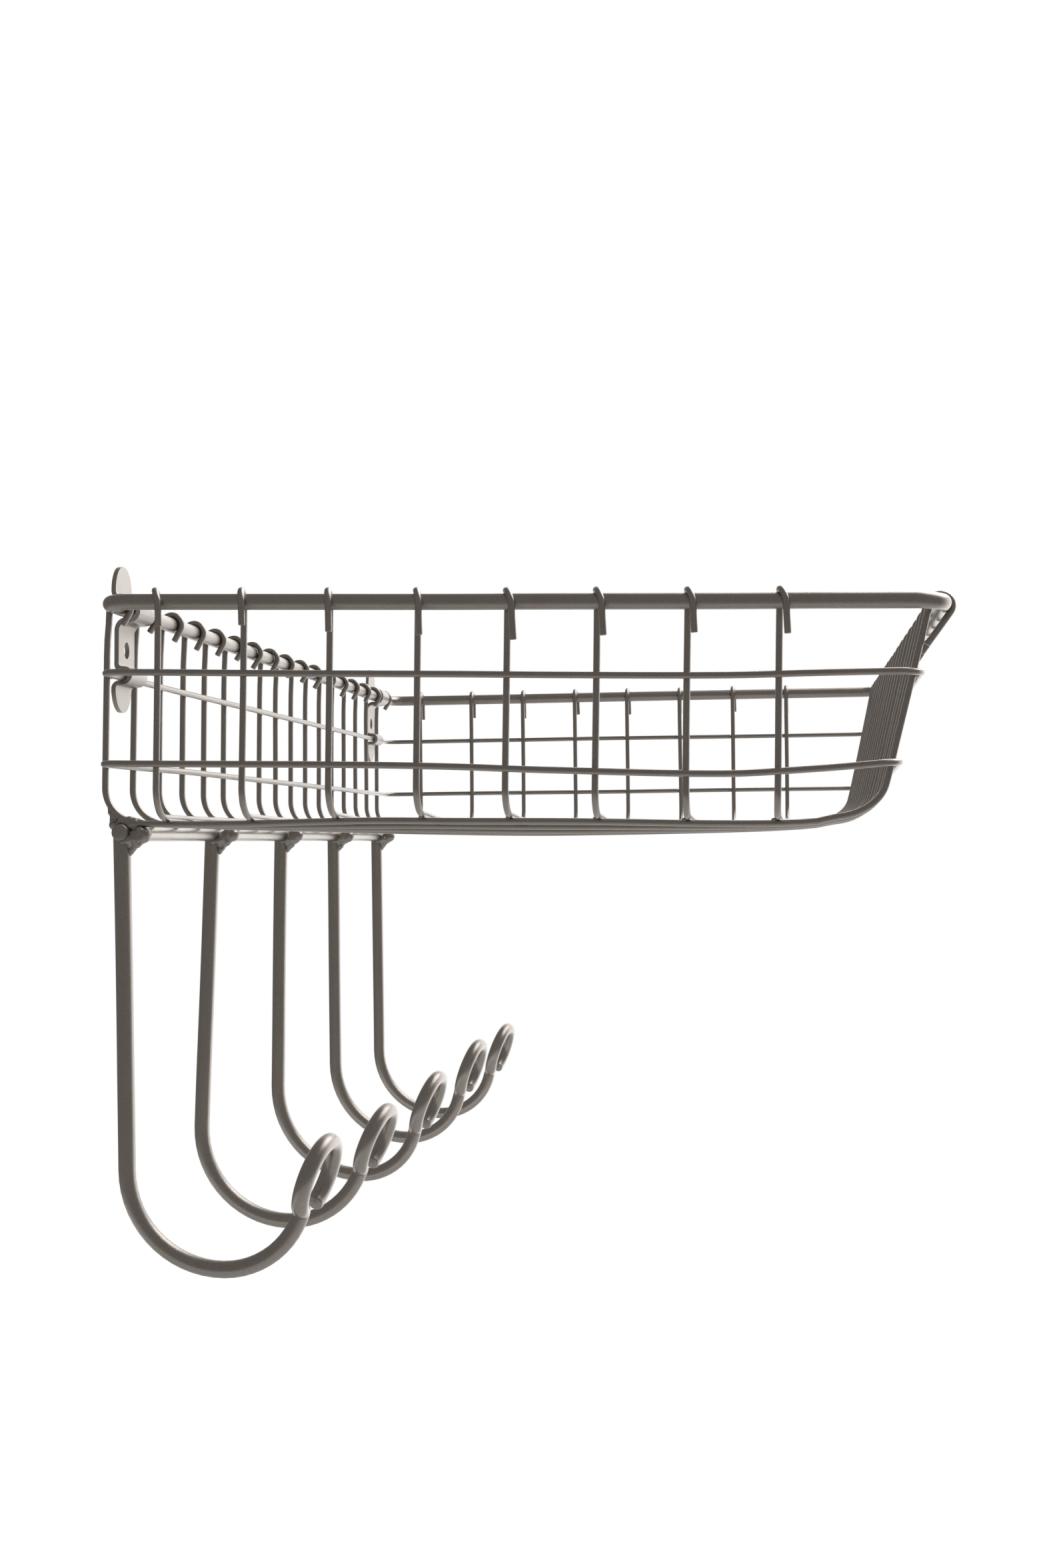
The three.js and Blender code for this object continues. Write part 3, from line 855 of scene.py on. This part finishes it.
# the heavy weld at the bar's left end, about the bar's centre
END_FILLET = [
    (0.0, 5.0, 9.0, 1.0), (0.0, 4.5, 7.7, 1.25), (0.2, 3.8, 6.3, 1.6), (0.2, 3.2, 4.8, 2.1),
    (0.4, 2.9, 3.0, 2.4), (0.4, 1.2, 4.2, 2.4), (0.4, -0.8, 4.0, 2.5), (0.4, -2.6, 3.4, 2.5),
    (0.6, -4.2, 3.5, 2.1), (0.8, -5.6, 3.6, 1.9), (0.8, -7.0, 3.4, 1.7), (0.8, -8.4, 3.2, 1.4),
    (0.8, -4.6, 1.6, 2.2), (1.0, -5.8, 0.8, 2.0), (1.2, -4.4, -0.8, 2.2),
]
FILLET_PITS = 4                       # gas pits in each hook's fillet
# where they may lie about the bar's centre, their radii and depths, in millimetres
PIT_PLACES = ((-3.0, -0.6), (-8.0, -3.6), (-7.0, -0.5))
PIT_RADII, PIT_DEPTHS = (0.8, 1.3), (0.3, 0.55)
# the end weld's one pit: place, radius and depth
END_PIT, END_PIT_RADIUS, END_PIT_DEPTH = Vector((-1.6, 2.6, 4.6)) * MM, 1.5 * MM, 1.1 * MM
# the bead where a crosswise wire's bend meets the bar: place about the bar's centre, and radii
BEND_BEAD_PLACE = Vector((0, -1.2 * MM, HOOK_RADIUS * 0.95))
BEND_BEAD = (1.5 * MM, 2.4 * MM, 1.3 * MM)


def hook_welds():
    """Smooth fillets between each hook and the bar, and beads from the bar to the bends above it."""
    chance = random.Random(DRAW_SEED["hook beads"])
    mesh = bmesh.new()
    pits = []
    for node in COAT_HOOKS:
        top = bar_point(middle(node).x)
        add_beads(mesh, top, HOOK_FILLET, chance)
        for _ in range(FILLET_PITS):
            place = Vector([chance.uniform(*span) for span in PIT_PLACES])
            radius, depth = chance.uniform(*PIT_RADII), chance.uniform(*PIT_DEPTHS)
            pits.append((top + place * MM, radius * MM, depth * MM))
    for x in CROSSWISE_X[1:]:
        add_nugget(mesh, bar_point(x) + BEND_BEAD_PLACE, BEND_BEAD, Quaternion(), chance, BEAD_SWELL)
    return piece_from(pitted(melted(mesh), pits), "hook_weld_beads", WELD_COAT, "pewter_rod", smooth_to=180)


def end_weld():
    """The heavy weld that ties the bar's left end to the first crosswise wire, with a pit in it."""
    chance = random.Random(DRAW_SEED["end weld"])
    mesh = bmesh.new()
    bar = bar_point(CROSSWISE_X[0])
    add_beads(mesh, bar, END_FILLET, chance)
    skin = pitted(melted(mesh), [(bar + END_PIT, END_PIT_RADIUS, END_PIT_DEPTH)])
    return piece_from(skin, "bar_end_weld", WELD_COAT, "pewter_rod", smooth_to=180)


# ---- assembly ----------------------------------------------------------------------------------

rim_rod()
ring_wire("upper_ring_wire", UPPER_RING_Z, WAVER_SEED["upper"])
ring_wire("lower_ring_wire", LOWER_RING_Z, WAVER_SEED["lower"])
for number, node in enumerate(LENGTHWISE, 1):
    lengthwise_wire(node, number)
for number, node in enumerate(CROSSWISE, 1):
    crosswise_wire(node, number)
hook_bar()
for number, node in enumerate(COAT_HOOKS, 1):
    coat_hook(node, number)
wall_bracket("wall_bracket_left", LEFT_STRAP)
wall_bracket("wall_bracket_right", RIGHT_STRAP)
spot_welds()
hook_welds()
end_weld()


# ---- floor, light and camera -------------------------------------------------------------------

DIM_WAY = (-0.93, 0.35, -0.1)         # straight away from the middle of the bright side
BRIGHT, DIM = (1.75, 1.75, 1.75), (0.215, 0.205, 0.197)
BRIGHT_EDGE, DIM_EDGE = 0.05, 0.24    # where each is reached, from 0 at the bright middle to 1 opposite
FLOOR_DROP = 0.42                     # the rack hangs on a wall, well clear of the floor
FLOOR_NEAR, FLOOR_FAR = 0.6, 1.5      # the floor fades into the white of the room between these
BOX_PLACE = Vector((0.45, -0.7, 1.1))                # of the light, from the middle of the rack
BOX_SIZE, BOX_POWER = (1.3, 1.0), 11


def pale_floor():
    mesh = bmesh.new()
    bmesh.ops.create_grid(mesh, x_segments=1, y_segments=1, size=FLOOR_FAR)
    data = bpy.data.meshes.new("pale_floor")
    mesh.to_mesh(data)
    mesh.free()
    floor = bpy.data.objects.new("pale_floor", data)
    floor.location.z = cad_box[0].z - FLOOR_DROP
    glowing_floor_finish = Finish("pale_floor_painted_glow")
    # the floor glows though it is no lamp: painted light, dim seen from straight above and white at grazing
    # angles, a painted sheen that lights the rack from below
    glowing_floor_finish.set(Base_Color=(0.72, 0.72, 0.72, 1), Roughness=0.9, Emission_Strength=0.8)
    sheen = glowing_floor_finish.node("ShaderNodeLayerWeight", None, {"Blend": 0.5}, output=1)
    glow = glowing_floor_finish.ramp(sheen, [(0.35, (0.1, 0.1, 0.1)), (0.62, (1, 1, 1))])
    glowing_floor_finish.drive("Emission Color", glow)
    away = glowing_floor_finish.node("ShaderNodeVectorMath", {"operation": "LENGTH"}, {0: glowing_floor_finish.place()}, output=1)
    fade = glowing_floor_finish.ramp(away * (1 / FLOOR_FAR), [(FLOOR_NEAR / FLOOR_FAR, (1, 1, 1)), (0.98, (0, 0, 0))])
    glowing_floor_finish.drive("Alpha", fade)
    data.materials.append(glowing_floor_finish.material)
    bpy.context.scene.collection.objects.link(floor)


def soft_box(name, place, aim, size, power):
    light = bpy.data.lights.new(name, "AREA")
    light.shape = "RECTANGLE"
    light.size, light.size_y = size
    light.energy = power
    lamp = bpy.data.objects.new(name, light)
    lamp.location = place
    lamp.rotation_euler = (place - aim).to_track_quat("Z", "Y").to_euler()
    bpy.context.scene.collection.objects.link(lamp)


def white_room():
    """White behind the rack's right end, dim on the side that its left end faces."""
    world = bpy.data.worlds.new("white_room")
    world.use_nodes = True
    bpy.context.scene.world = world
    room = NodeLayer(world.node_tree)
    way = room.node("ShaderNodeTexCoord", output="Generated")
    settings = {"operation": "DOT_PRODUCT"}
    dimness = room.node("ShaderNodeVectorMath", settings, {0: way, 1: DIM_WAY}, output="Value")
    glow = room.ramp(dimness * 0.5 + 0.5, [(BRIGHT_EDGE, BRIGHT), (DIM_EDGE, DIM)])
    seen = room.node("ShaderNodeLightPath", output="Is Camera Ray")
    shown = room.blend(seen, glow, (1, 1, 1, 1))
    room.tree.links.new(shown.socket, room.tree.nodes["Background"].inputs["Color"])


CAMERA_PLACE = Vector((-1.0278, -0.2577, -0.0654))
CAMERA_YAW = math.radians(7.29)
CAMERA_PITCH = math.radians(1.2)
LENS_MM, SENSOR_MM = 72.4, 36
NEAREST = 0.01


def photographer():
    camera = bpy.data.cameras.new("camera")
    camera.sensor_fit = "HORIZONTAL"
    camera.sensor_width = SENSOR_MM
    camera.lens = LENS_MM
    camera.clip_start = NEAREST
    eye = bpy.data.objects.new("camera", camera)
    ahead = Quaternion(Z, CAMERA_YAW) @ Quaternion(-Y, CAMERA_PITCH) @ X
    eye.location = CAMERA_PLACE
    eye.rotation_euler = ahead.to_track_quat("-Z", "Y").to_euler()
    bpy.context.scene.collection.objects.link(eye)
    bpy.context.scene.camera = eye


pale_floor()
white_room()
centre = (cad_box[0] + cad_box[1]) / 2
soft_box("overhead_soft_box", centre + BOX_PLACE, centre, BOX_SIZE, BOX_POWER)
photographer()
bpy.context.scene.view_settings.view_transform = "Standard"
